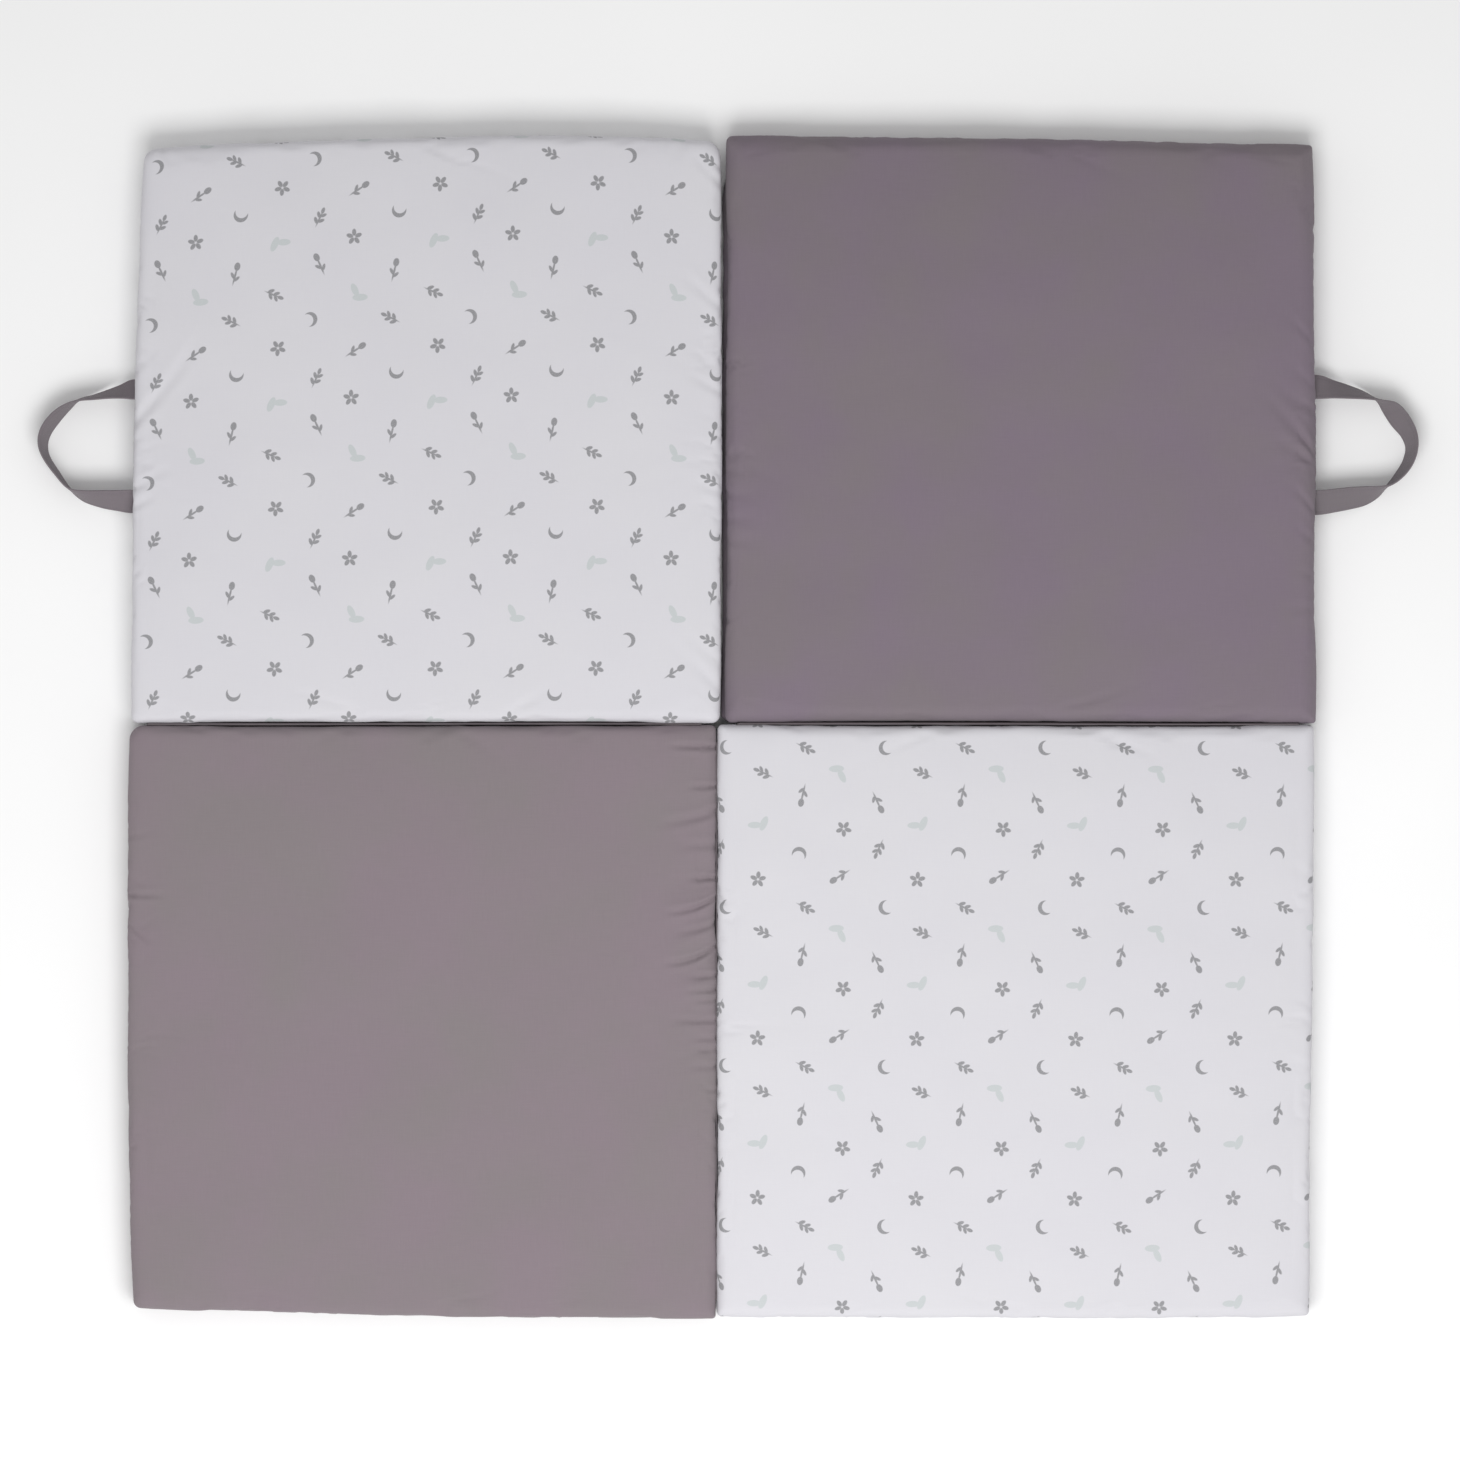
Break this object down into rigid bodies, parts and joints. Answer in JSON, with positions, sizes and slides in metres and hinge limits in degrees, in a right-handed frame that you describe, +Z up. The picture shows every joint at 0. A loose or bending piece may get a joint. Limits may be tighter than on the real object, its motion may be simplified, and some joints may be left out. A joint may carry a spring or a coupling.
{
  "type": "folding baby play mat",
  "caption": "Folding padded play mat of square cloth panels, plain and printed in turn, with fold seams between them and a looped strap handle on each side.",
  "frame": {"origin": "on the ground, under the middle of the open mat with its handles", "axes": "+X to the right, from one handle to the other; +Y to the back, towards the end where the panels are parted by a slit; +Z up"},
  "size_m": [1.1654, 0.9979, 0.038],
  "materials": {
    "printed_cotton": "matte plain-woven cotton, near white with a small grey tossed print",
    "plain_cotton": "matte plain-woven cotton in grey mauve",
    "handle_strap": "folded cotton strap in grey mauve, stitched along both edges",
    "seam_cloth": "matte joining cloth, deep in the fold seams"
  },
  "bodies": {
    "root": {"back_left_panel": "printed_cotton", "back_right_panel": "plain_cotton", "front_left_panel": "plain_cotton", "front_right_panel": "printed_cotton", "left_fold_seam": "seam_cloth", "right_fold_seam": "seam_cloth", "front_fold_seam": "seam_cloth", "left_handle": "handle_strap", "right_handle": "handle_strap"}
  },
  "joints": []
}
